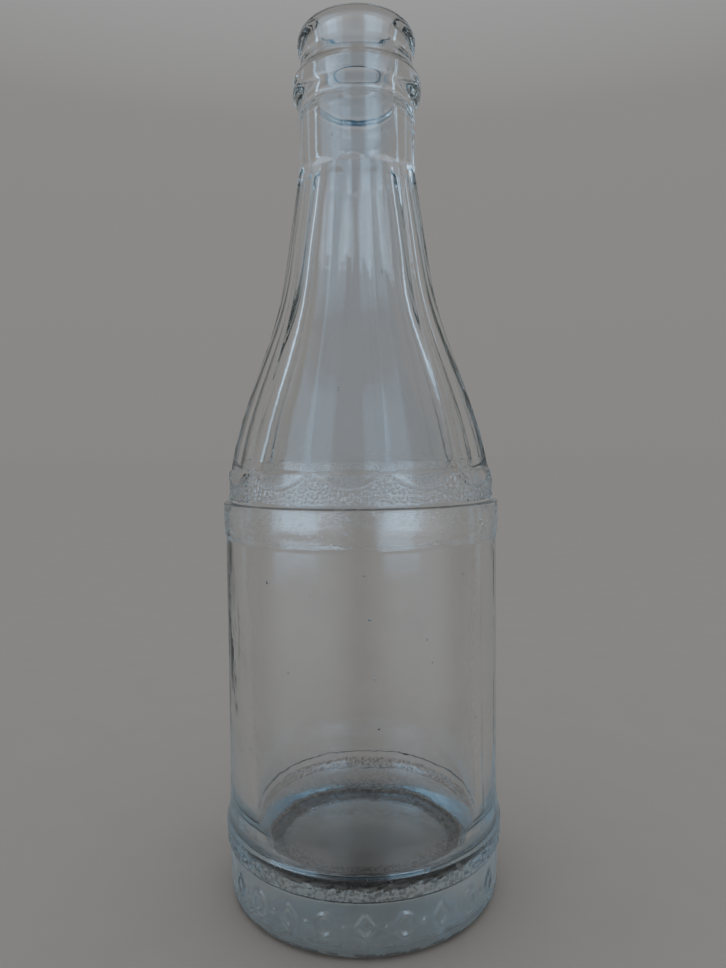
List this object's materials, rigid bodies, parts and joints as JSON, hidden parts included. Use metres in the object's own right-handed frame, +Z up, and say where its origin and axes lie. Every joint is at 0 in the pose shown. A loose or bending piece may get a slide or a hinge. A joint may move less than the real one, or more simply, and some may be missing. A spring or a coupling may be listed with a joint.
{
  "type": "glass soda bottle",
  "caption": "Empty clear glass soda bottle: round body, stippled shoulder band, fluted shoulder rising to a crown-cap finish, raised contact rings and a pushed-up base.",
  "frame": {"origin": "centre of the bearing ring that the bottle stands on", "axes": "+Z up along the bottle's axis to the mouth, -Y the front"},
  "size_m": [0.0636, 0.0636, 0.1935],
  "materials": {
    "clear_glass": "gloss"
  },
  "bodies": {
    "root": {"glass_bottle": "clear_glass"}
  },
  "joints": []
}
